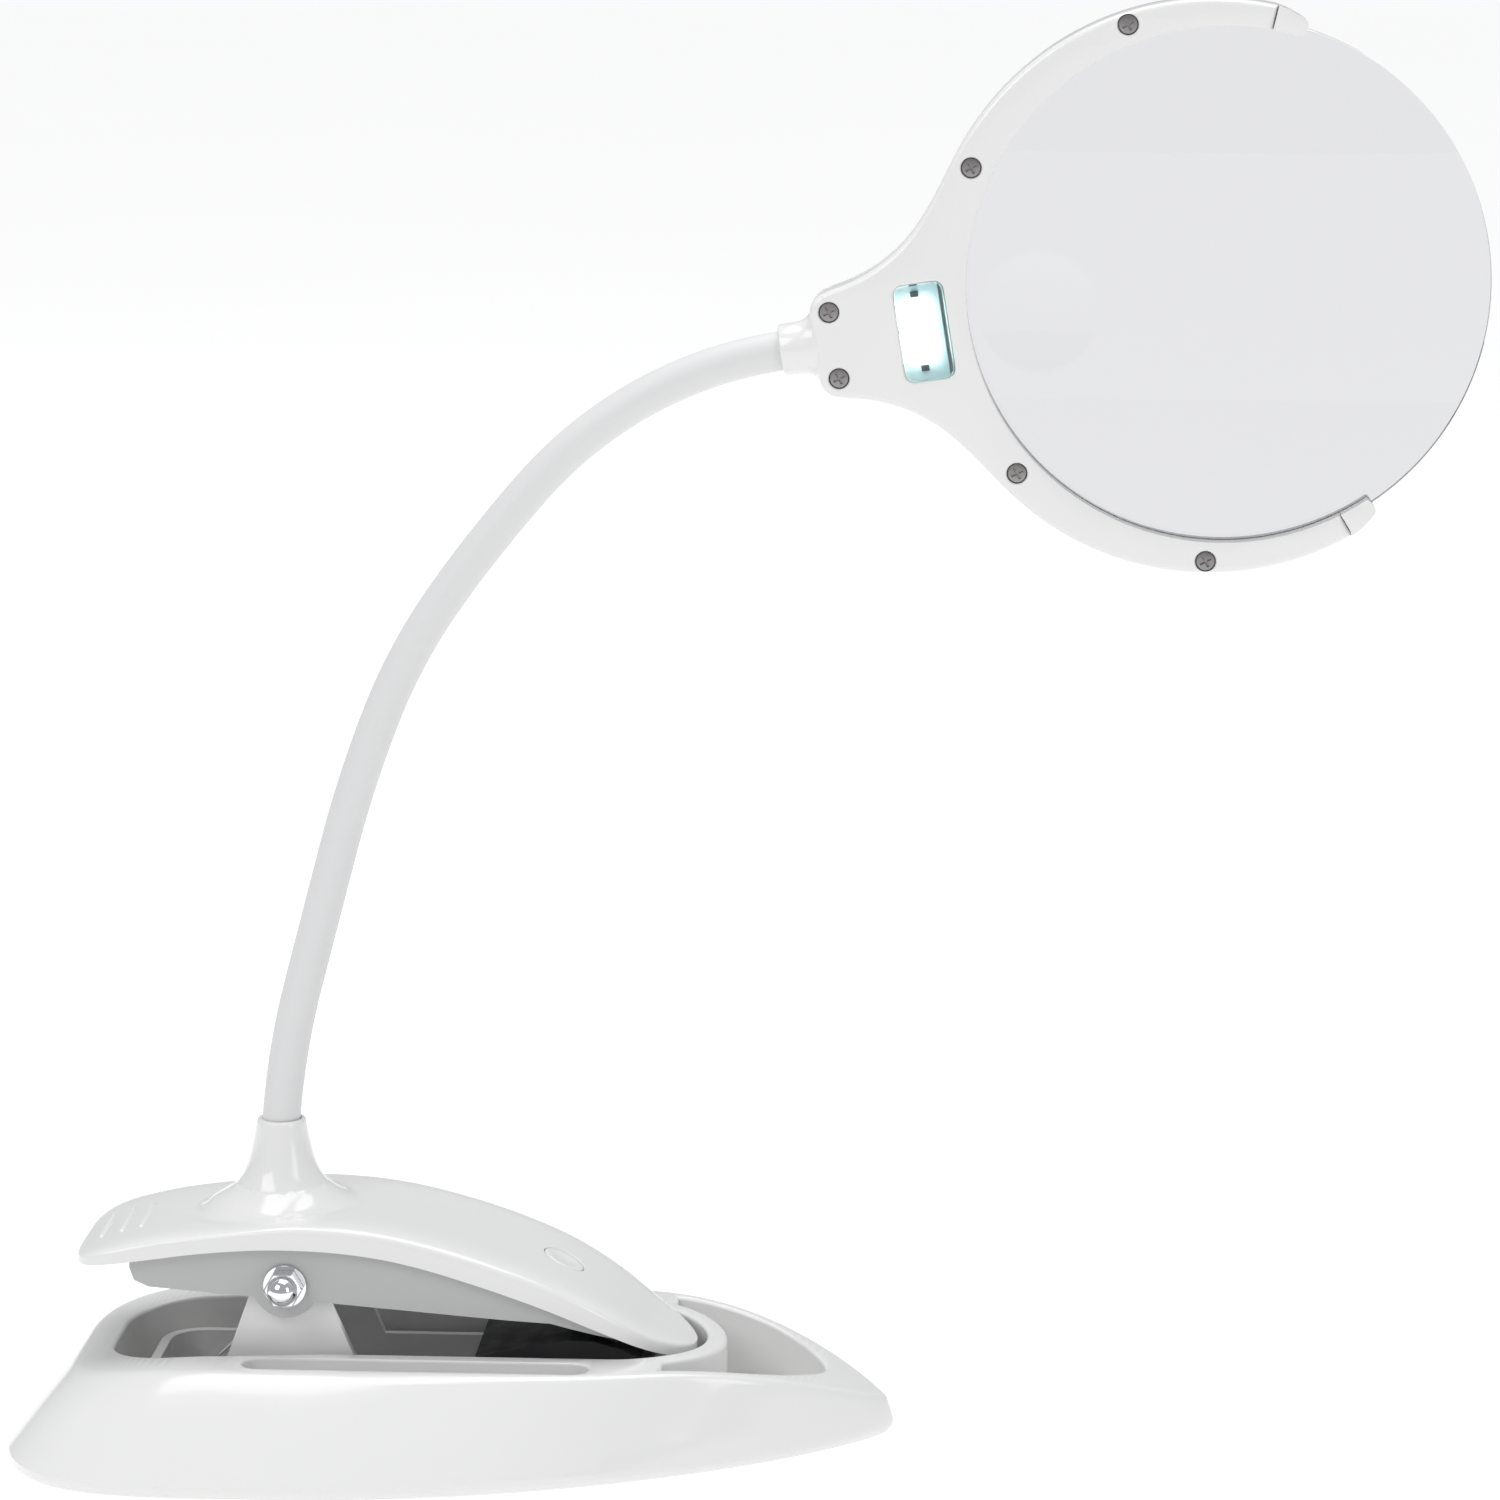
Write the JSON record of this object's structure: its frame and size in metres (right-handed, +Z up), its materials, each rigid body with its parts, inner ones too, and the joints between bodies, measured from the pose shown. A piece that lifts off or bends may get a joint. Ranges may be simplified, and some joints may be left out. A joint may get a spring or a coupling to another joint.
{
  "type": "magnifying lamp",
  "caption": "Magnifying lamp with a weighted tray base, a lift-out spring clip, a gooseneck and a rimless lens in a lit C-shaped frame.",
  "frame": {"origin": "centre of the base's footprint on the table", "axes": "+X from the clip's grip to the nose of the base, -Y towards the side with the acorn nut and the lit side of the head, +Z up"},
  "size_m": [0.3039, 0.108, 0.3015],
  "materials": {
    "white_plastic": "glossy off-white injection-moulded ABS",
    "plate_plastic": "matte off-white plastic",
    "black_rubber": "matte black rubber",
    "ballast_steel": "zinc-plated steel",
    "dark_screw": "blackened steel",
    "chrome_nut": "polished chrome plate",
    "spring_wire": "bright spring wire",
    "cell_steel": "nickel-plated cell can",
    "contact_brass": "brass strip",
    "green_board": "green circuit board",
    "black_part": "black moulded part",
    "lead_insulation": "red insulated lead",
    "neck_sleeve": "satin white PVC sleeve",
    "core_steel": "steel gooseneck core",
    "lens_acrylic": "polished clear acrylic",
    "window_acrylic": "clear acrylic",
    "white_board": "white circuit board",
    "led_lens": "LED phosphor and resin"
  },
  "bodies": {
    "base": {"base_shell": "white_plastic", "base_plate": "plate_plastic", "base_weight": "ballast_steel", "base_screws": "dark_screw", "sole_pad": "black_rubber"},
    "clip_lower": {"lower_jaw": "white_plastic", "lower_pad": "black_rubber", "pivot_bolt": "chrome_nut", "acorn_nut": "chrome_nut", "pivot_washers": "chrome_nut", "spring_legs": "spring_wire"},
    "clip_upper": {"upper_jaw": "white_plastic", "inner_cover": "white_plastic", "upper_pad": "black_rubber", "spring_bridge": "spring_wire", "cell_door": "white_plastic", "door_screw": "dark_screw", "coin_cells": "cell_steel", "cell_contacts": "contact_brass", "circuit_board": "green_board", "tact_switch": "black_part", "cover_screws": "dark_screw", "neck_nut": "ballast_steel", "jaw_lead": "lead_insulation", "neck_sleeve_1": "neck_sleeve", "neck_core_1": "core_steel", "neck_lead_1": "lead_insulation"},
    "button": {"power_button": "white_plastic"},
    "neck_2": {"neck_sleeve_2": "neck_sleeve", "neck_core_2": "core_steel", "neck_lead_2": "lead_insulation"},
    "neck_3": {"neck_sleeve_3": "neck_sleeve", "neck_core_3": "core_steel", "neck_lead_3": "lead_insulation"},
    "neck_4": {"neck_sleeve_4": "neck_sleeve", "neck_core_4": "core_steel", "neck_lead_4": "lead_insulation"},
    "neck_5": {"neck_sleeve_5": "neck_sleeve", "neck_core_5": "core_steel", "neck_lead_5": "lead_insulation"},
    "neck_6": {"neck_sleeve_6": "neck_sleeve", "neck_core_6": "core_steel", "neck_lead_6": "lead_insulation"},
    "head": {"neck_sleeve_7": "neck_sleeve", "neck_core_7": "core_steel", "neck_lead_7": "lead_insulation", "head_front": "white_plastic", "head_back": "white_plastic", "lens": "lens_acrylic", "led_window": "window_acrylic", "led_board": "white_board", "leds": "led_lens", "resistors": "black_part", "head_screws": "dark_screw", "head_lead": "lead_insulation"}
  },
  "joints": [
    {"name": "clip_lift", "type": "slide", "parent": "base", "child": "clip_lower", "axis": [0, 0, 1], "range_m": [0, 0.06]},
    {"name": "jaw_open", "type": "hinge", "parent": "clip_lower", "child": "clip_upper", "pos_m": [-0.0338, 0, 0.036], "axis": [0, -1, 0], "range_deg": [0, 18], "stiffness_Nm_per_rad": 0.6, "springref_deg": -28.65},
    {"name": "button_press", "type": "slide", "parent": "clip_upper", "child": "button", "axis": [-0.454, 0, -0.891], "range_m": [0, 0.0008], "stiffness_N_per_m": 600, "springref_m": -0.001},
    {"name": "neck_bend_1", "type": "hinge", "parent": "clip_upper", "child": "neck_2", "pos_m": [-0.03187, 0, 0.09591], "axis": [0, 1, 0], "range_deg": [-25, 25]},
    {"name": "neck_swing_2", "type": "hinge", "parent": "neck_2", "child": "neck_3", "pos_m": [-0.02421, 0, 0.12451], "axis": [0.9659, 0, -0.2588], "range_deg": [-30, 30]},
    {"name": "neck_bend_3", "type": "hinge", "parent": "neck_3", "child": "neck_4", "pos_m": [-0.01494, 0, 0.1526], "axis": [0, 1, 0], "range_deg": [-25, 25]},
    {"name": "neck_swing_4", "type": "hinge", "parent": "neck_4", "child": "neck_5", "pos_m": [-0.00085, 0, 0.17855], "axis": [0.8141, 0, -0.5807], "range_deg": [-30, 30]},
    {"name": "neck_bend_5", "type": "hinge", "parent": "neck_5", "child": "neck_6", "pos_m": [0.01757, 0, 0.2017], "axis": [0, 1, 0], "range_deg": [-25, 25]},
    {"name": "neck_swing_6", "type": "hinge", "parent": "neck_6", "child": "head", "pos_m": [0.04054, 0, 0.22014], "axis": [0.4848, 0, -0.8746], "range_deg": [-30, 30]}
  ]
}
